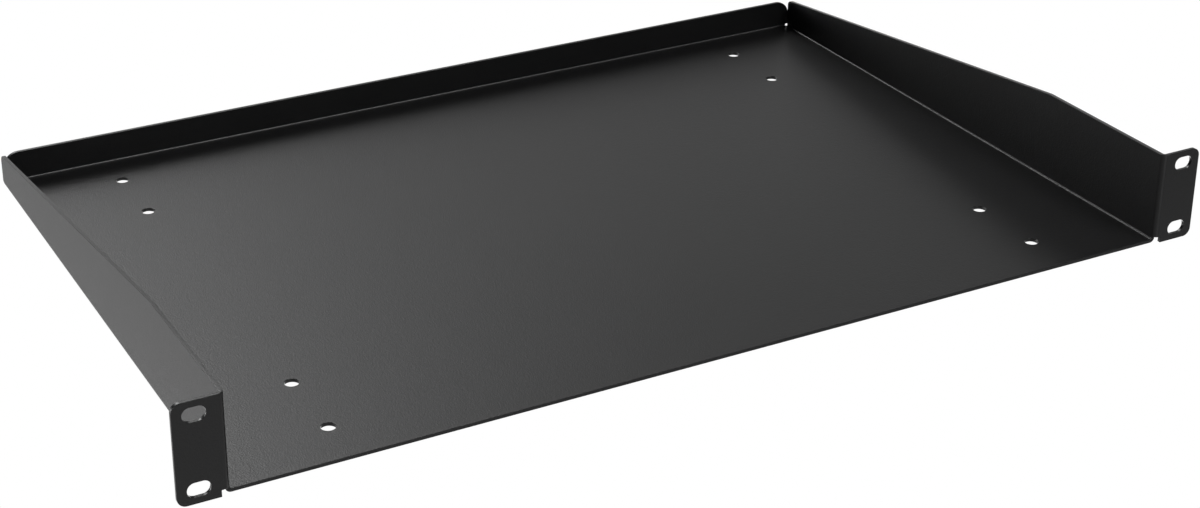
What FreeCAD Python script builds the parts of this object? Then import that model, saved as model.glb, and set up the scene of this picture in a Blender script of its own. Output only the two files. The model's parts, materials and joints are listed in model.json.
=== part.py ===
"""Cantilever rack shelf, one rack unit high: one sheet of steel, cut, folded and powder coated.

The sheet is a flat tray with a side wall folded up along each side, a low lip folded up at
the rear, and an ear folded out from the front end of each side wall.  The ears carry the slots
that bolt to the rack's front rails.  X runs across the rack, Y to the rear and Z up.  The
origin is the centre of the four rack slots, on the ears' rear faces, where they meet the rails.
"""
import FreeCAD, Part
import math
import os
import Sketcher

# The driving sizes in millimetres: alias, value and what it measures.
SIZES = (
    ("panel_width", 482.6, "over the tips of the ears, as a 19 inch rack needs"),
    ("unit_height", 44.45, "one rack unit"),
    ("unit_clearance", 0.79, "what the shelf's height leaves of its rack unit"),
    ("unit_edge_to_slot", 6.35, "from the rack unit's edge to the nearest slot centre"),
    ("depth", 304.8, "from the ears' front faces to the rear lip's rear face"),
    ("gauge", 1.66, "thickness of the sheet, 16 gauge steel with its coat"),
    ("bend_radius", 0.75, "inside radius of every fold"),
    ("ear_reach", 19.2, "from a side wall's outer face to its ear's tip"),
    ("ear_corner_radius", 3.8, "the ears' outer corners"),
    ("slot_from_tip", 8.75, "from an ear's tip to its slot centres"),
    ("slot_length", 9.45, "a rack slot, end to end"),
    ("slot_width", 6.2, "a rack slot, across"),
    ("notch_reach", 1.1, "how far the notch under an ear's fold runs into the ear"),
    ("notch_rise", 0.5, "how far that notch rises past the tray's fold"),
    ("front_setback", 1.74, "from the ears' front faces back to the tray's front edge"),
    ("taper_start", 79.4, "from the ears' front faces to where the side walls start to fall"),
    ("wall_rear_height", 16.15, "a side wall's rear end, over the underside"),
    ("wall_corner_radius", 3.4, "a side wall's rear top corner"),
    ("wall_end_gap", 0.25, "from a side wall's rear end to the lip's inner face"),
    ("lip_height", 15.85, "the rear lip, over the underside"),
    ("lip_corner_radius", 7.5, "the rear lip's top corners"),
    ("lip_overlap", 0.7, "how far the lip runs past a side wall's inner face"),
    ("relief_radius", 1.1, "round relief where the rear fold and a side fold meet"),
    ("relief_shift", 0.8, "from the tray's flat corner out to the relief's centre, each way"),
    ("hole_diameter", 6.2, "a hole in the tray"),
    ("hole_from_side", 51.0, "from a side wall's outer face to the nearest holes"),
    ("hole_from_end", 25.4, "from the front and the rear faces to the nearest holes"),
    ("hole_pair_pitch", 38.1, "between the two holes of a pair"),
)

# Places on the folded sheet, as expressions on those sizes.
BEND_OUT = "(Sizes.bend_radius + Sizes.gauge)"
TOP = "((Sizes.unit_height - Sizes.unit_clearance) / 2)"
BOTTOM = f"(-{TOP})"
FOLD_TOP = f"({BOTTOM} + {BEND_OUT})"
NOTCH_TOP = f"({FOLD_TOP} + Sizes.notch_rise)"
TIP_X = "(Sizes.panel_width / 2)"
WALL_OUT_X = f"({TIP_X} - Sizes.ear_reach)"
WALL_IN_X = f"({WALL_OUT_X} - Sizes.gauge)"
TRAY_X = f"({WALL_OUT_X} - {BEND_OUT})"
EAR_X = f"({WALL_OUT_X} + Sizes.bend_radius)"
LIP_X = f"({WALL_IN_X} + Sizes.lip_overlap)"
FRONT_Y = "(-Sizes.gauge)"
TRAY_FRONT_Y = f"({FRONT_Y} + Sizes.front_setback)"
TAPER_Y = f"({FRONT_Y} + Sizes.taper_start)"
REAR_Y = f"({FRONT_Y} + Sizes.depth)"
LIP_IN_Y = f"({REAR_Y} - Sizes.gauge)"
TRAY_REAR_Y = f"({REAR_Y} - {BEND_OUT})"
WALL_END_Y = f"({LIP_IN_Y} - Sizes.wall_end_gap)"
RELIEF_X = f"({TRAY_X} + Sizes.relief_shift)"
RELIEF_Y = f"({TRAY_REAR_Y} + Sizes.relief_shift)"
WALL_END_TOP = f"({BOTTOM} + Sizes.wall_rear_height)"
LIP_TOP = f"({BOTTOM} + Sizes.lip_height)"
SLOT_X = f"({TIP_X} - Sizes.slot_from_tip)"
SLOT_PITCH = "(Sizes.unit_height - 2 * Sizes.unit_edge_to_slot)"
HOLE_X = f"({WALL_OUT_X} - Sizes.hole_from_side)"
HOLE_FRONT_Y = f"({FRONT_Y} + Sizes.hole_from_end)"
HOLE_PAIR_SPAN = "(Sizes.depth - 2 * Sizes.hole_from_end - Sizes.hole_pair_pitch)"

ORIGIN = -1  # a sketch's own origin, as its constraints number it
START, END, CENTRE = 1, 2, 3  # the points of a line or an arc, numbered likewise


def make_sheet(doc):
    """The spreadsheet that every feature takes its sizes from."""
    sheet = doc.addObject("Spreadsheet::Sheet", "Sizes")
    for row, (alias, value, note) in enumerate(SIZES, start=1):
        sheet.set(f"A{row}", note)
        sheet.set(f"B{row}", str(value))
        sheet.setAlias(f"B{row}", alias)
    doc.recompute()


def number(expression):
    """What an expression on the sizes comes to."""
    return float(FreeCAD.ActiveDocument.Sizes.evalExpression(expression))


def origin_feature(body, role):
    """One of a body's origin planes or axes."""
    return next(part for part in body.Origin.OriginFeatures if part.Role == role)


def sketch_on(body, name, role, offset):
    """An empty sketch on an origin plane, moved along the plane's normal by an expression."""
    sketch = body.newObject("Sketcher::SketchObject", name)
    sketch.AttachmentSupport = (origin_feature(body, role), [""])
    sketch.MapMode = "FlatFace"
    sketch.setExpression("AttachmentOffset.Base.z", offset)
    return sketch


def pin(sketch, edge, point, across, up):
    """Holds one point of a sketch at two expressions, measured from the sketch's origin."""
    for kind, place in (("DistanceX", across), ("DistanceY", up)):
        here = Sketcher.Constraint(kind, ORIGIN, START, edge, point, number(place))
        sketch.setExpression(f"Constraints[{sketch.addConstraint(here)}]", place)


def join(sketch, edge, point, other, other_point):
    """Makes two points of a sketch one."""
    sketch.addConstraint(Sketcher.Constraint("Coincident", edge, point, other, other_point))


def draw_loop(sketch, corners):
    """A closed loop of straight lines whose corners are pairs of expressions."""
    places = [FreeCAD.Vector(number(across), number(up), 0) for across, up in corners]
    ends = places[1:] + places[:1]
    edges = [sketch.addGeometry(Part.LineSegment(a, b)) for a, b in zip(places, ends)]
    for edge, following, (across, up) in zip(edges, edges[1:] + edges[:1], corners):
        pin(sketch, edge, START, across, up)
        join(sketch, edge, END, following, START)


def draw_arc(sketch, across, up, radius, quadrant, turn=1):
    """An arc about a pinned centre, starting on an axis and turning through quarter turns."""
    centre = FreeCAD.Vector(number(across), number(up), 0)
    circle = Part.Circle(centre, FreeCAD.Vector(0, 0, 1), number(radius))
    first = quadrant * math.pi / 2
    last = first + turn * math.pi / 2
    arc = sketch.addGeometry(Part.ArcOfCircle(circle, first, last))
    pin(sketch, arc, CENTRE, across, up)
    size = sketch.addConstraint(Sketcher.Constraint("Radius", arc, number(radius)))
    sketch.setExpression(f"Constraints[{size}]", radius)
    for point, axis in ((START, quadrant), (END, quadrant + turn)):
        level = "Horizontal" if axis % 2 == 0 else "Vertical"
        sketch.addConstraint(Sketcher.Constraint(level, arc, point, arc, CENTRE))
    return arc


def draw_line(sketch, edge, point, other, other_point):
    """A straight line between two points that the sketch already has."""
    a = sketch.getPoint(edge, point)
    b = sketch.getPoint(other, other_point)
    line = sketch.addGeometry(Part.LineSegment(a, b))
    join(sketch, line, START, edge, point)
    join(sketch, line, END, other, other_point)


def draw_fold(sketch, across, up, quadrant):
    """A fold's section: a quarter ring from the inside radius to the outside one."""
    inner = draw_arc(sketch, across, up, "Sizes.bend_radius", quadrant)
    outer = draw_arc(sketch, across, up, BEND_OUT, quadrant)
    draw_line(sketch, inner, START, outer, START)
    draw_line(sketch, inner, END, outer, END)


def draw_circle(sketch, across, up, diameter):
    """A circle about a pinned centre."""
    centre = FreeCAD.Vector(number(across), number(up), 0)
    radius = number(diameter) / 2
    circle = sketch.addGeometry(Part.Circle(centre, FreeCAD.Vector(0, 0, 1), radius))
    pin(sketch, circle, CENTRE, across, up)
    size = sketch.addConstraint(Sketcher.Constraint("Diameter", circle, 2 * radius))
    sketch.setExpression(f"Constraints[{size}]", diameter)


def draw_slot(sketch, across, up, length, width):
    """A level slot with round ends about a centre."""
    reach = f"({length} - {width}) / 2"
    right = draw_arc(sketch, f"{across} + {reach}", up, f"{width} / 2", 3, 2)
    left = draw_arc(sketch, f"{across} - {reach}", up, f"{width} / 2", 1, 2)
    draw_line(sketch, right, END, left, START)
    draw_line(sketch, left, END, right, START)


def pad(body, name, sketch, length):
    """A sketch raised along its normal by an expression."""
    feature = body.newObject("PartDesign::Pad", name)
    feature.Profile = sketch
    feature.setExpression("Length", length)
    body.Document.recompute()
    return feature


def cut(body, name, sketch, depth):
    """A sketch cut away along its normal, which has to take something off."""
    before = body.Shape.Volume
    feature = body.newObject("PartDesign::Pocket", name)
    feature.Profile = sketch
    feature.Reversed = True
    feature.setExpression("Length", depth)
    body.Document.recompute()
    if body.Shape.Volume >= before:
        raise RuntimeError(f"{name} cuts nothing")
    return feature


def mirror(body, name, originals):
    """The same features again on the other side of the shelf."""
    feature = body.newObject("PartDesign::Mirrored", name)
    feature.Originals = originals
    feature.MirrorPlane = (origin_feature(body, "YZ_Plane"), [""])
    body.Tip = feature
    body.Document.recompute()


def row_of_two(body, name, role, spacing):
    """A step of a pattern: the feature and one copy, along an axis."""
    step = body.newObject("PartDesign::LinearPattern", name)
    step.Direction = (origin_feature(body, role), [""])
    step.Occurrences = 2
    step.setExpression("Length", spacing)
    return step


def pattern(body, name, original, steps):
    """A feature repeated by each step in turn, and then mirrored across the shelf."""
    across = body.newObject("PartDesign::Mirrored", f"{name}Across")
    across.MirrorPlane = (origin_feature(body, "YZ_Plane"), [""])
    feature = body.newObject("PartDesign::MultiTransform", name)
    feature.Originals = [original]
    feature.Transformations = steps + [across]
    body.Tip = feature
    body.Document.recompute()


def round_corners(body, name, radius, corners):
    """Rounds the corners of the sheet that lie at the given middles of their short edges."""
    base = body.Tip
    middles = [FreeCAD.Vector(*map(number, corner)) for corner in corners]
    names = []
    for middle in middles:
        spans = [(edge.CenterOfMass - middle).Length for edge in base.Shape.Edges]
        names.append(f"Edge{spans.index(min(spans)) + 1}")
    feature = body.newObject("PartDesign::Fillet", name)
    feature.Base = (base, names)
    feature.setExpression("Radius", radius)
    body.Document.recompute()


def add_tray(body):
    """The flat bottom, short of the folds at its sides and rear."""
    sketch = sketch_on(body, "TrayOutline", "XY_Plane", BOTTOM)
    left = f"(-{TRAY_X})"
    draw_loop(
        sketch,
        [
            (left, TRAY_FRONT_Y),
            (TRAY_X, TRAY_FRONT_Y),
            (TRAY_X, TRAY_REAR_Y),
            (left, TRAY_REAR_Y),
        ],
    )
    pad(body, "Tray", sketch, "Sizes.gauge")


def add_rear_lip(body):
    """The fold along the rear edge and the low lip that stands on it."""
    fold = sketch_on(body, "RearFoldSection", "YZ_Plane", f"-{TRAY_X}")
    draw_fold(fold, TRAY_REAR_Y, FOLD_TOP, 3)
    pad(body, "RearFold", fold, f"2 * {TRAY_X}")
    lip = sketch_on(body, "LipOutline", "XZ_Plane", f"-{REAR_Y}")
    left = f"(-{LIP_X})"
    draw_loop(lip, [(left, FOLD_TOP), (LIP_X, FOLD_TOP), (LIP_X, LIP_TOP), (left, LIP_TOP)])
    pad(body, "Lip", lip, "Sizes.gauge")


def add_side_wall(body):
    """The fold along the right side and its wall, level at the front and falling to the rear."""
    fold = sketch_on(body, "SideFoldSection", "XZ_Plane", f"-{TRAY_REAR_Y}")
    draw_fold(fold, TRAY_X, FOLD_TOP, 3)
    side_fold = pad(body, "SideFold", fold, f"{TRAY_REAR_Y} - {TRAY_FRONT_Y}")
    wall = sketch_on(body, "WallOutline", "YZ_Plane", WALL_IN_X)
    draw_loop(
        wall,
        [
            (TRAY_FRONT_Y, FOLD_TOP),
            (WALL_END_Y, FOLD_TOP),
            (WALL_END_Y, WALL_END_TOP),
            (TAPER_Y, TOP),
            ("Sizes.bend_radius", TOP),
            ("Sizes.bend_radius", NOTCH_TOP),
            (TRAY_FRONT_Y, NOTCH_TOP),
        ],
    )
    return [side_fold, pad(body, "Wall", wall, "Sizes.gauge")]


def add_ear(body):
    """The right wall's upright fold and its ear, notched below where that fold was freed."""
    fold = sketch_on(body, "EarFoldSection", "XY_Plane", NOTCH_TOP)
    draw_fold(fold, EAR_X, "Sizes.bend_radius", 2)
    ear_fold = pad(body, "EarFold", fold, f"{TOP} - {NOTCH_TOP}")
    ear = sketch_on(body, "EarOutline", "XZ_Plane", "0")
    notch_x = f"({EAR_X} + Sizes.notch_reach)"
    draw_loop(
        ear,
        [
            (notch_x, BOTTOM),
            (TIP_X, BOTTOM),
            (TIP_X, TOP),
            (EAR_X, TOP),
            (EAR_X, NOTCH_TOP),
            (notch_x, NOTCH_TOP),
        ],
    )
    return [ear_fold, pad(body, "Ear", ear, "Sizes.gauge")]


def round_outer_corners(body):
    """The ears' outer corners, the lip's top corners and the side walls' rear top corners."""
    sides = ("", "-")
    ear_middle_y = "-Sizes.gauge / 2"
    ear_corners = [(f"{side}{TIP_X}", ear_middle_y, up) for side in sides for up in (BOTTOM, TOP)]
    round_corners(body, "EarCorners", "Sizes.ear_corner_radius", ear_corners)
    lip_middle_y = f"{REAR_Y} - Sizes.gauge / 2"
    lip_corners = [(f"{side}{LIP_X}", lip_middle_y, LIP_TOP) for side in sides]
    round_corners(body, "LipCorners", "Sizes.lip_corner_radius", lip_corners)
    wall_middle_x = f"({WALL_OUT_X} - Sizes.gauge / 2)"
    wall_corners = [(f"{side}{wall_middle_x}", WALL_END_Y, WALL_END_TOP) for side in sides]
    round_corners(body, "WallCorners", "Sizes.wall_corner_radius", wall_corners)


def cut_corner_relief(body):
    """A round hole in each rear corner, where the rear fold and a side fold run out."""
    sketch = sketch_on(body, "ReliefCircle", "XY_Plane", BOTTOM)
    draw_circle(sketch, RELIEF_X, RELIEF_Y, "2 * Sizes.relief_radius")
    relief = cut(body, "Relief", sketch, BEND_OUT)
    mirror(body, "ReliefLeft", [relief])


def cut_tray_holes(body):
    """Eight round holes for bolting things down: a pair near each corner of the tray."""
    sketch = sketch_on(body, "HoleCircle", "XY_Plane", BOTTOM)
    draw_circle(sketch, HOLE_X, HOLE_FRONT_Y, "Sizes.hole_diameter")
    hole = cut(body, "Hole", sketch, "Sizes.gauge")
    pair = row_of_two(body, "HolePair", "Y_Axis", "Sizes.hole_pair_pitch")
    ends = row_of_two(body, "HoleEnds", "Y_Axis", HOLE_PAIR_SPAN)
    pattern(body, "TrayHoles", hole, [pair, ends])


def cut_rack_slots(body):
    """Two level slots in each ear, one above the other, for the rack's screws."""
    sketch = sketch_on(body, "SlotOutline", "XZ_Plane", "0")
    draw_slot(sketch, SLOT_X, f"(-{SLOT_PITCH} / 2)", "Sizes.slot_length", "Sizes.slot_width")
    slot = cut(body, "Slot", sketch, "Sizes.gauge")
    column = row_of_two(body, "SlotColumn", "Z_Axis", SLOT_PITCH)
    pattern(body, "RackSlots", slot, [column])


def make_shelf(doc):
    """The folded sheet: one body, with its left side mirrored from its right."""
    body = doc.addObject("PartDesign::Body", "RackShelf")
    body.Label = "rack_shelf"
    add_tray(body)
    add_rear_lip(body)
    mirror(body, "LeftSide", add_side_wall(body) + add_ear(body))
    round_outer_corners(body)
    cut_corner_relief(body)
    cut_tray_holes(body)
    cut_rack_slots(body)
    return body


def check(doc, parts):
    """Stops before anything is written if a feature failed or a part isn't one sound solid."""
    for item in doc.Objects:
        faults = {"Invalid", "Error"} & set(item.State)
        if faults:
            raise RuntimeError(f"{item.Label}: {faults}")
    for part in parts:
        shape = part.Shape
        if shape.isNull() or not shape.isValid() or len(shape.Solids) != 1:
            raise RuntimeError(f"{part.Label} isn't one sound solid")


def main():
    doc = FreeCAD.newDocument("RackShelf")
    make_sheet(doc)
    parts = [make_shelf(doc)]
    doc.recompute()
    check(doc, parts)
    os.makedirs("parts", exist_ok=True)
    for part in parts:
        part.Shape.exportStep(f"parts/{part.Label}.step")
        box = part.Shape.BoundBox
        print(f"{part.Label}: {box.XLength:.2f} x {box.YLength:.2f} x {box.ZLength:.2f} mm,")
        print(f"{part.Shape.Volume / 1000:.2f} cm3, {len(part.Shape.Faces)} faces")


main()
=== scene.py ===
# Cantilever rack shelf: one sheet of steel, cut to a blank, folded, punched and powder coated.
# Everything is in metres, in the frame of the CAD model.
import json
import math
import bmesh
import bpy
from mathutils import Euler, Matrix, Vector


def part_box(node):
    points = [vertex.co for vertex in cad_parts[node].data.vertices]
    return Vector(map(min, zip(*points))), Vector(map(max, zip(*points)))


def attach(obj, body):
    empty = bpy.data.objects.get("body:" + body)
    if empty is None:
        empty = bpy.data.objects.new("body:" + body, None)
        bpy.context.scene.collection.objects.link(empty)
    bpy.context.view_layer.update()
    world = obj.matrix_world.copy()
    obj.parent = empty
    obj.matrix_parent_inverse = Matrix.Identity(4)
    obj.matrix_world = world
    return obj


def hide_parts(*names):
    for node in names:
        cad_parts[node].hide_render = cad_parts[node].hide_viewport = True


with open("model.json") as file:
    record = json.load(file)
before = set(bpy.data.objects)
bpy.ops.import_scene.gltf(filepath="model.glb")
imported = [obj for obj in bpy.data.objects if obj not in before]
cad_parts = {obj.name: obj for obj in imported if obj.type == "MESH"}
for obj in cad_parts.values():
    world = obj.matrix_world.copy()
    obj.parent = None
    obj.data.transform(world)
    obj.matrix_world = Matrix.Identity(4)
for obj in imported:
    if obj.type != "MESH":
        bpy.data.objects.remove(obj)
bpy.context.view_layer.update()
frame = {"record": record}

mm = 0.001
quarter = math.pi / 2  # every fold is square
mounts = {mount["name"]: mount for mount in frame["record"]["mounts"]}


class Wire:  # an output of a node, which takes part in sums
    def __init__(self, graph, node, socket):
        self.graph, self.node, self.socket = graph, node, socket

    def out(self, name):
        return Wire(self.graph, self.node, self.node.outputs[name])

    def maths(self, operation, first, second=0.0):
        return self.graph.add("ShaderNodeMath", {"operation": operation}, {0: first, 1: second})

    def atLeast(self, other):
        return self.maths("MAXIMUM", self, other)

    def atMost(self, other):
        return self.maths("MINIMUM", self, other)

    def power(self, exponent):
        return self.maths("POWER", self, exponent)

    def sine(self):
        return self.maths("SINE", self)

    def cosine(self):
        return self.maths("COSINE", self)

    def __add__(self, other):
        return self.maths("ADD", self, other)

    def __sub__(self, other):
        return self.maths("SUBTRACT", self, other)

    def __rsub__(self, other):
        return self.maths("SUBTRACT", other, self)

    def __mul__(self, other):
        return self.maths("MULTIPLY", self, other)

    def __truediv__(self, other):
        return self.maths("DIVIDE", self, other)

    def __rtruediv__(self, other):
        return self.maths("DIVIDE", other, self)

    def __gt__(self, other):
        return self.maths("GREATER_THAN", self, other)

    def __lt__(self, other):
        return self.maths("LESS_THAN", self, other)

    __radd__ = __add__
    __rmul__ = __mul__


class Graph:  # a node tree being built
    def __init__(self, tree):
        self.tree = tree
        tree.nodes.clear()

    def add(self, kind, settings=None, inputs=None):
        # Settings go first, because they decide which sockets a node shows.
        node = self.tree.nodes.new(kind)
        for name, value in (settings or {}).items():
            setattr(node, name, value)
        for name, value in (inputs or {}).items():
            self.feed(node.inputs[name], value)
        shown = [socket for socket in node.outputs if socket.enabled]
        return Wire(self, node, shown[0] if shown else None)

    def feed(self, socket, value):
        # A list feeds a socket that takes several wires.
        for part in value if isinstance(value, list) else [value]:
            if isinstance(part, Wire):
                self.tree.links.new(part.socket, socket)
            else:
                socket.default_value = part


def geometryTree(name, sizes):
    # A geometry node tree whose modifier shows these sizes as inputs.
    tree = bpy.data.node_groups.new(name, "GeometryNodeTree")
    face = tree.interface
    face.new_socket("Geometry", in_out="INPUT", socket_type="NodeSocketGeometry")
    for size, kind in sizes.items():
        face.new_socket(size, in_out="INPUT", socket_type=f"NodeSocket{kind}")
    face.new_socket("Geometry", in_out="OUTPUT", socket_type="NodeSocketGeometry")
    graph = Graph(tree)
    return graph, graph.add("NodeGroupInput")


def endTree(graph, made, finish):
    # Every tree ends in real geometry that has its finish.
    real = graph.add("GeometryNodeRealizeInstances", None, {0: made})
    coated = graph.add("GeometryNodeSetMaterial", None, {"Geometry": real, "Material": finish})
    graph.add("NodeGroupOutput", None, {0: coated})
    return graph.tree


def addTree(piece, tree, values):
    # Puts a tree on a piece, with its inputs set by their identifiers.
    modifier = piece.modifiers.new(tree.name, "NODES")
    modifier.node_group = tree
    for item in tree.interface.items_tree:
        if item.in_out == "INPUT" and item.name in values:
            modifier[item.identifier] = values[item.name]


# The finish: satin black powder coat.  Three noises make it: grain is the finest, peel is the
# slight orange peel and cloud the slow drift from place to place.
powderCoat = {
    "darkColour": (0.004, 0.004, 0.0042, 1),
    "paleColour": (0.012, 0.012, 0.0124, 1),
    "grainScale": 1500.0,
    "grainDetail": 2.0,
    "peelScale": 420.0,
    "peelDetail": 2.0,
    "cloudScale": 26.0,
    "cloudDetail": 3.0,
    "noiseRoughness": 0.55,
    "grainInColour": 0.7,  # the rest is cloud
    "grainInBump": 0.7,  # the rest is peel
    "cloudInGloss": 0.6,  # the rest is peel
    "roughness": 0.285,
    "roughnessSpread": 0.014,  # at 0.02 around 0.28 the glossiest spots rendered as patches
    "bumpStrength": 0.8,
    "bumpHeight": 0.14 * mm,
}


def powderCoatMaterial():
    material = bpy.data.materials.new("powderCoat")
    material.use_nodes = True
    graph = Graph(material.node_tree)
    place = graph.add("ShaderNodeTexCoord").out("Object")

    def noise(layer):
        return graph.add("ShaderNodeTexNoise", None, {
            "Vector": place,
            "Scale": powderCoat[layer + "Scale"],
            "Detail": powderCoat[layer + "Detail"],
            "Roughness": powderCoat["noiseRoughness"],
        })

    def blend(main, other, share):
        return main * powderCoat[share] + other * (1 - powderCoat[share])

    grain, peel, cloud = noise("grain"), noise("peel"), noise("cloud")
    colour = graph.add("ShaderNodeMix", {"data_type": "RGBA"}, {
        "Factor": blend(grain, cloud, "grainInColour"),
        6: powderCoat["darkColour"],  # this node's colours are its sockets 6 and 7
        7: powderCoat["paleColour"],
    })
    drift = blend(cloud, peel, "cloudInGloss") - 0.5  # a noise is a half on average
    bump = graph.add("ShaderNodeBump", None, {
        "Strength": powderCoat["bumpStrength"],
        "Distance": powderCoat["bumpHeight"],
        "Height": blend(grain, peel, "grainInBump"),
    })
    coat = graph.add("ShaderNodeBsdfPrincipled", None, {
        "Base Color": colour,
        "Roughness": drift * (2 * powderCoat["roughnessSpread"]) + powderCoat["roughness"],
        "Normal": bump,
    })
    graph.add("ShaderNodeOutputMaterial", None, {"Surface": coat})
    return material


# The sheet.  Lengths are in millimetres; the outer sizes come from the frame.
shelf = {
    "gauge": 1.66,
    "bendRadius": 0.75,  # inside a fold
    "earReach": 19.2,  # from a wall's outer face to the ear's tip
    "earCorner": 3.8,
    "notchReach": 1.1,
    "notchRise": 0.5,
    "notchSlit": 0.2,
    "frontSetback": 1.74,
    "taperStart": 79.4,
    "wallRearHeight": 16.15,
    "wallCorner": 3.4,
    "wallEndGap": 0.25,
    "lipHeight": 15.85,
    "lipCorner": 7.5,
    "lipOverlap": 0.7,
    "reliefRadius": 1.1,
    "reliefOut": 0.8,  # from the tray's corner to the relief's centre, both ways
    "punchDepth": 6.64,  # well through the sheet
    "weldReach": 0.001,
    "edgeRound": 0.16,
    "edgeSteps": 2,
    "edgeAngle": 40,  # degrees: sharper edges than this are rounded
    "flatWeight": 100,  # how firmly flat faces keep their shading flat
    "foldSteps": 12,
    "cornerSteps": 10,
    "holeSides": 48,
}
for size, value in shelf.items():
    if not size.endswith(("Steps", "Angle", "Weight", "Sides")):
        shelf[size] = value * mm

low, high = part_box("rack_shelf")
foldOut = shelf["bendRadius"] + shelf["gauge"]  # radius outside a fold
foldRun = (shelf["bendRadius"] + shelf["gauge"] / 2) * quarter  # flat metal in a fold
wallX = high.x - shelf["earReach"]
sideFold = wallX - foldOut  # where the tray ends and the side folds start
rearFold = high.y - foldOut
earFold = shelf["bendRadius"]
earX = wallX + shelf["bendRadius"]
foldTop = low.z + foldOut
notchTop = foldTop + shelf["notchRise"]
frontY = low.y + shelf["frontSetback"]
wallEndY = high.y - shelf["gauge"] - shelf["wallEndGap"]
trayZone, earZone, lipZone = 0, 1, 2  # the walls belong to the tray's zone


def upWall(z):  # the flat place across, of a height on a side wall or an ear
    return sideFold + foldRun + z - foldTop


def outEar(x):  # the flat place along, of a place across an ear
    return earFold - foldRun - (x - earX)


def upLip(z):  # the flat place along, of a height on the rear lip
    return rearFold + foldRun + z - foldTop


def rounded(corners, steps):
    # Corners are across, along and radius; a radius of nothing leaves a corner sharp.
    points = []
    for index, (across, along, radius) in enumerate(corners):
        here = Vector((across, along))
        before = (Vector(corners[index - 1][:2]) - here).normalized()
        after = (Vector(corners[(index + 1) % len(corners)][:2]) - here).normalized()
        if not radius:
            points.append(here)
            continue
        half = before.angle(after) / 2
        middle = here + (before + after).normalized() * radius / math.sin(half)
        start = here + before * radius / math.tan(half) - middle
        end = here + after * radius / math.tan(half) - middle
        turn = math.atan2(start.cross(end), start.dot(end))
        for k in range(steps + 1):
            points.append(middle + Matrix.Rotation(turn * k / steps, 2) @ start)
    return points


def addPatch(mesh, zone, points, twin=False):
    # One face of the flat blank, and its twin on the left.
    for side in (1, -1) if twin else (1,):
        corners = [mesh.verts.new((side * point[0], point[1], 0)) for point in points]
        for corner in corners:
            corner[mesh.verts.layers.float["zone"]] = zone
        face = mesh.faces.new(corners)
        face.normal_update()
        if face.normal.z < 0:
            face.normal_flip()


def flatBlank():
    # The sheet before it is folded, as a flat mesh of a few large faces.
    mesh = bmesh.new()
    mesh.verts.layers.float.new("zone")
    steps, curve = shelf["foldSteps"], shelf["cornerSteps"]
    tray = [(-sideFold, frontY), (sideFold, frontY), (sideFold, rearFold), (-sideFold, rearFold)]
    addPatch(mesh, trayZone, tray)

    def eaten(run):
        # How far the corner's relief reaches along one fold, at this run into the other.
        radius, out = shelf["reliefRadius"], shelf["reliefOut"]
        return max(math.sqrt(max(radius ** 2 - (run - out) ** 2, 0)) - out, 0)

    # The folds, in narrow strips.
    for step in range(steps):
        run, after = (foldRun * k / steps for k in (step, step + 1))
        side = [
            (sideFold + after, frontY),
            (sideFold + run, frontY),
            (sideFold + run, rearFold - eaten(run)),
            (sideFold + after, rearFold - eaten(after)),
        ]
        addPatch(mesh, trayZone, side, True)
        near, far = sideFold - eaten(run), sideFold - eaten(after)
        rear = [(-near, run), (near, run), (far, after), (-far, after)]
        addPatch(mesh, lipZone, [(across, rearFold + along) for across, along in rear])
        ear = [(notchTop, run), (high.z, run), (high.z, after), (notchTop, after)]
        addPatch(mesh, earZone, [(upWall(z), earFold - back) for z, back in ear], True)

    # The flats beyond the folds.
    slit = upWall(notchTop - shelf["notchSlit"])
    wall = [
        (upWall(foldTop), frontY, 0),
        (upWall(foldTop), rearFold, 0),
        (upWall(foldTop), wallEndY, 0),
        (upWall(low.z + shelf["wallRearHeight"]), wallEndY, shelf["wallCorner"]),
        (upWall(high.z), low.y + shelf["taperStart"], 0),
        (upWall(high.z), earFold, 0),
        (upWall(notchTop), earFold, 0),
        (slit, earFold, 0),
        (slit, frontY, 0),
    ]
    addPatch(mesh, trayZone, rounded(wall, curve), True)
    notchX = earX + shelf["notchReach"]
    ear = [
        (upWall(notchTop), outEar(earX), 0),
        (upWall(high.z), outEar(earX), 0),
        (upWall(high.z), outEar(high.x), shelf["earCorner"]),
        (upWall(low.z), outEar(high.x), shelf["earCorner"]),
        (upWall(low.z), outEar(notchX), 0),
        (upWall(notchTop), outEar(notchX), 0),
    ]
    addPatch(mesh, earZone, rounded(ear, curve), True)
    lipX = wallX - shelf["gauge"] + shelf["lipOverlap"]
    lipTop = low.z + shelf["lipHeight"]
    lip = [
        (-lipX, upLip(foldTop), 0),
        (-sideFold, upLip(foldTop), 0),
        (sideFold, upLip(foldTop), 0),
        (lipX, upLip(foldTop), 0),
        (lipX, upLip(lipTop), shelf["lipCorner"]),
        (-lipX, upLip(lipTop), shelf["lipCorner"]),
    ]
    addPatch(mesh, lipZone, rounded(lip, curve))
    bmesh.ops.remove_doubles(mesh, verts=mesh.verts, dist=shelf["weldReach"])
    data = bpy.data.meshes.new("blank")
    mesh.to_mesh(data)
    mesh.free()
    return data


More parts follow.
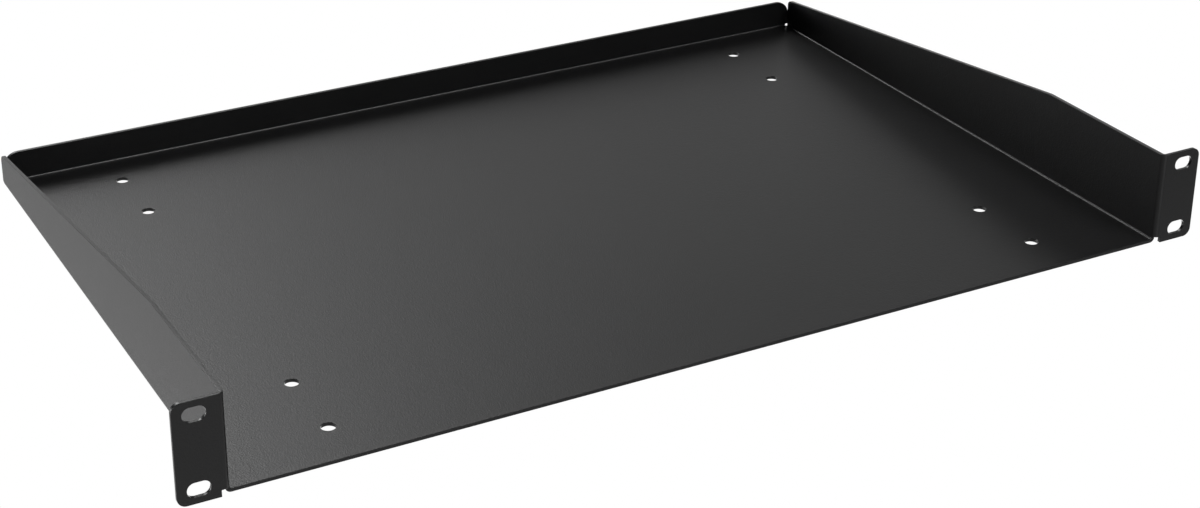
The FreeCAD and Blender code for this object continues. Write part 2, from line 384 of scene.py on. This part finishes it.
def foldTree():
    # Turns each zone of the blank up, or the ears out, about its fold line.
    sizes = ["Gauge", "Bend radius", "Side fold", "Rear fold", "Ear fold", "Underside"]
    graph, given = geometryTree("Fold", {size: "Float" for size in sizes} | {"Finish": "Material"})
    gauge, bend, sideLine, rearLine, earLine, underside = (given.out(size) for size in sizes)
    place = graph.add("GeometryNodeInputPosition")
    flat = graph.add("ShaderNodeSeparateXYZ", None, {0: place})
    zone = graph.add("GeometryNodeInputNamedAttribute", {"data_type": "FLOAT"}, {"Name": "zone"})
    isLip = zone > (earZone + lipZone) / 2
    isEar = (zone > (trayZone + earZone) / 2) - isLip
    isTray = 1 - isLip - isEar
    neutral = bend + gauge * 0.5  # the middle of the sheet keeps its length
    flatRun = neutral * quarter
    inner = bend + gauge - flat.out("Z")  # radius inside a fold that goes up
    outer = bend + flat.out("Z")  # and inside one that goes out
    across = flat.maths("ABSOLUTE", flat.out("X"))
    along = flat.out("Y")

    sideRun = across - sideLine
    sideAngle = (sideRun / neutral).atLeast(0).atMost(quarter) * isTray + isEar * quarter
    sideRise = (sideRun - flatRun).atLeast(0) * isTray + (sideRun - flatRun) * isEar
    rearRun = along - rearLine
    rearAngle = (rearRun / neutral).atLeast(0).atMost(quarter)
    rearRise = (rearRun - flatRun).atLeast(0)
    earRun = ((earLine - along) * isEar).atLeast(0)
    earAngle = (earRun / neutral).atMost(quarter)
    earReach = (earRun - flatRun).atLeast(0)

    x = across.atMost(sideLine) * (1 - isLip) + across * isLip + inner * sideAngle.sine()
    x = x + outer * (1 - earAngle.cosine()) + earReach
    y = (along + earRun).atMost(rearLine) + inner * rearAngle.sine() - outer * earAngle.sine()
    z = underside + bend + gauge - inner * sideAngle.cosine() * rearAngle.cosine()
    z = z + sideRise + rearRise
    side = flat.maths("SIGN", flat.out("X"))
    folded = graph.add("ShaderNodeCombineXYZ", None, {0: x * side, 1: y, 2: z})
    moved = graph.add("GeometryNodeSetPosition", None, {
        "Geometry": given.out("Geometry"), "Position": folded})
    return endTree(graph, moved, given.out("Finish"))


def punchTree():
    # Cuts a rectangle of four holes, round or slotted, square through the sheet.
    sizes = {size: "Float" for size in ("Across", "Along", "Diameter", "Length", "Depth")}
    places = {"Centre": "Vector", "Turn": "Vector", "Sides": "Int", "Finish": "Material"}
    graph, given = geometryTree("Punch", sizes | places)
    pin = graph.add("GeometryNodeMeshCylinder", None, {
        "Vertices": given.out("Sides"),
        "Radius": given.out("Diameter") * 0.5,
        "Depth": given.out("Depth"),
    })
    reach = (given.out("Length") - given.out("Diameter")) * 0.5
    ends = []
    for side in (1, -1):
        shift = graph.add("ShaderNodeCombineXYZ", None, {0: reach * side})
        ends.append(graph.add("GeometryNodeTransform", None, {
            "Geometry": pin.out("Mesh"), "Translation": shift}))
    both = graph.add("GeometryNodeJoinGeometry", None, {0: ends})
    punch = graph.add("GeometryNodeConvexHull", None, {0: both})
    grid = graph.add("GeometryNodeMeshGrid", None, {
        "Size X": given.out("Across"),
        "Size Y": given.out("Along"),
        "Vertices X": 2,
        "Vertices Y": 2,
    })
    punches = graph.add("GeometryNodeInstanceOnPoints", None, {
        "Points": grid.out("Mesh"), "Instance": punch})
    real = graph.add("GeometryNodeRealizeInstances", None, {0: punches})
    placed = graph.add("GeometryNodeTransform", None, {
        "Geometry": real, "Translation": given.out("Centre"), "Rotation": given.out("Turn")})
    cut = graph.add("GeometryNodeMeshBoolean", {"operation": "DIFFERENCE", "solver": "EXACT"}, {
        0: given.out("Geometry"), 1: placed})
    return endTree(graph, cut.out("Mesh"), given.out("Finish"))


def makeShelf(finish):
    piece = bpy.data.objects.new("foldedSheet", flatBlank())
    bpy.context.scene.collection.objects.link(piece)
    plate = piece.modifiers.new("Thickness", "SOLIDIFY")
    plate.thickness, plate.offset = shelf["gauge"], 1.0  # all of it above the blank
    addTree(piece, foldTree(), {
        "Gauge": shelf["gauge"],
        "Bend radius": shelf["bendRadius"],
        "Side fold": sideFold,
        "Rear fold": rearFold,
        "Ear fold": earFold,
        "Underside": low.z,
        "Finish": finish,
    })
    punch = punchTree()
    for name in ("rack_slots", "outer_tray_holes", "inner_tray_holes"):
        dims = mounts[name]["dims"]
        axis = Vector(mounts[name]["axis"])
        inEars = abs(axis.y) > abs(axis.z)  # the tray's holes go straight down
        addTree(piece, punch, {
            "Across": dims["spacing_x_mm"] * mm,
            "Along": dims["spacing_y_mm"] * mm,
            "Diameter": 2 * dims["hole_r_mm"] * mm,
            "Length": dims.get("slot_length_mm", 2 * dims["hole_r_mm"]) * mm,
            "Depth": shelf["punchDepth"],
            "Centre": mounts[name]["pos_m"],
            "Turn": (quarter if inEars else 0.0, 0.0, 0.0),
            "Sides": shelf["holeSides"],
            "Finish": finish,
        })
    edges = piece.modifiers.new("Edges", "BEVEL")
    edges.width, edges.segments = shelf["edgeRound"], shelf["edgeSteps"]
    edges.limit_method, edges.angle_limit = "ANGLE", math.radians(shelf["edgeAngle"])
    edges.use_clamp_overlap = False
    shade = piece.modifiers.new("Shading", "WEIGHTED_NORMAL")
    shade.keep_sharp, shade.weight = False, shelf["flatWeight"]
    ready = piece.evaluated_get(bpy.context.evaluated_depsgraph_get())
    mesh = bpy.data.meshes.new_from_object(ready)
    mesh.name = "foldedSheet"
    piece.modifiers.clear()
    piece.data = mesh
    mesh.attributes.remove(mesh.attributes["zone"])
    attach(piece, "root")
    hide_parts("rack_shelf")
    return piece


coat = powderCoatMaterial()
print("powder coat ready")
sheet = makeShelf(coat)
print(f"folded sheet: {len(sheet.data.polygons)} faces")

# The camera, floor and light.
studio = {
    "cameraPlace": (-451.92, -697.82, 446.80),  # millimetres
    "cameraYaw": 27.791,  # degrees
    "cameraPitch": 23.926,
    "lens": 69.057,  # this and the sensor's width are in millimetres
    "sensorWidth": 36.0,
    "shift": (0.03725, -0.10317),
    "clip": (0.01, 60.0),
    "domeRadius": 8.0,
    "domeSides": 48,
    "domeRings": 24,
    "domeWeld": 1e-4,
    "paperColour": (1, 1, 1, 1),
    "paperGlow": 1.0,
    "lightColour": (1, 1, 1, 1),
    "lights": [  # azimuth from the rear and elevation in degrees, tightness and strength
        (0, 44, 50, 10.841),
        (-15, 40, 50, 0.680),
        (15, 40, 50, 0.298),
        (20, 30, 50, 0.420),
        (49, 25, 50, 0.647),
        (0, 10, 50, 1.431),
        (30, 5, 50, 0.703),
        (-56, -4, 49.6, 21.415),
        (-100, 10, 30, 0.265),
        (90, 0, 50, 0.252),
        (155, 56, 50, 12.246),
        (-176, -1, 48.8, 5.125),
        (13, -49, 23.7, 0.601),
        (38, -31, 10.2, 4.244),
        (0, -90, 1, 0.787),
    ],
}


def addCamera():
    camera = bpy.data.objects.new("camera", bpy.data.cameras.new("camera"))
    camera.data.lens, camera.data.sensor_width = studio["lens"], studio["sensorWidth"]
    camera.data.shift_x, camera.data.shift_y = studio["shift"]
    camera.data.clip_start, camera.data.clip_end = studio["clip"]
    camera.location = Vector(studio["cameraPlace"]) * mm
    tilt, turn = 90 - studio["cameraPitch"], -studio["cameraYaw"]
    camera.rotation_euler = Euler((math.radians(tilt), 0, math.radians(turn)))
    bpy.context.scene.collection.objects.link(camera)
    bpy.context.scene.camera = camera


def addBackdrop():
    # A pale floor that curves up into a dome; it is bare background, so it throws no light.
    mesh = bmesh.new()
    bmesh.ops.create_uvsphere(
        mesh,
        u_segments=studio["domeSides"],
        v_segments=studio["domeRings"],
        radius=studio["domeRadius"],
    )
    for corner in mesh.verts:
        corner.co.z = max(corner.co.z, 0) + low.z
    bmesh.ops.remove_doubles(mesh, verts=mesh.verts, dist=studio["domeWeld"])
    data = bpy.data.meshes.new("backdrop")
    mesh.to_mesh(data)
    mesh.free()
    material = bpy.data.materials.new("backdropPaper")
    material.use_nodes = True
    graph = Graph(material.node_tree)
    glow = graph.add("ShaderNodeEmission", None, {
        "Color": studio["paperColour"], "Strength": studio["paperGlow"]})
    graph.add("ShaderNodeOutputMaterial", None, {"Surface": glow})
    data.materials.append(material)
    backdrop = bpy.data.objects.new("backdrop", data)
    bpy.context.scene.collection.objects.link(backdrop)
    backdrop.visible_glossy = backdrop.visible_diffuse = backdrop.visible_shadow = False


def addLight():
    # Soft round lights far away, on the world.
    world = bpy.data.worlds.new("studio")
    world.use_nodes = True
    bpy.context.scene.world = world
    graph = Graph(world.node_tree)
    towards = graph.add("ShaderNodeTexCoord").out("Generated")

    def softLight(azimuth, elevation, tightness, strength):
        turn, rise = math.radians(azimuth), math.radians(elevation)
        aim = (math.sin(turn) * math.cos(rise), math.cos(turn) * math.cos(rise), math.sin(rise))
        facing = graph.add("ShaderNodeVectorMath", {"operation": "DOT_PRODUCT"}, {
            0: towards, 1: aim})
        return facing.out("Value").atLeast(0).power(tightness) * strength

    total = sum(softLight(*light) for light in studio["lights"])
    sky = graph.add("ShaderNodeBackground", None, {
        "Color": studio["lightColour"], "Strength": total})
    graph.add("ShaderNodeOutputWorld", None, {"Surface": sky})


addCamera()
addBackdrop()
addLight()
bpy.context.scene.view_settings.view_transform = "Standard"
print("studio ready")
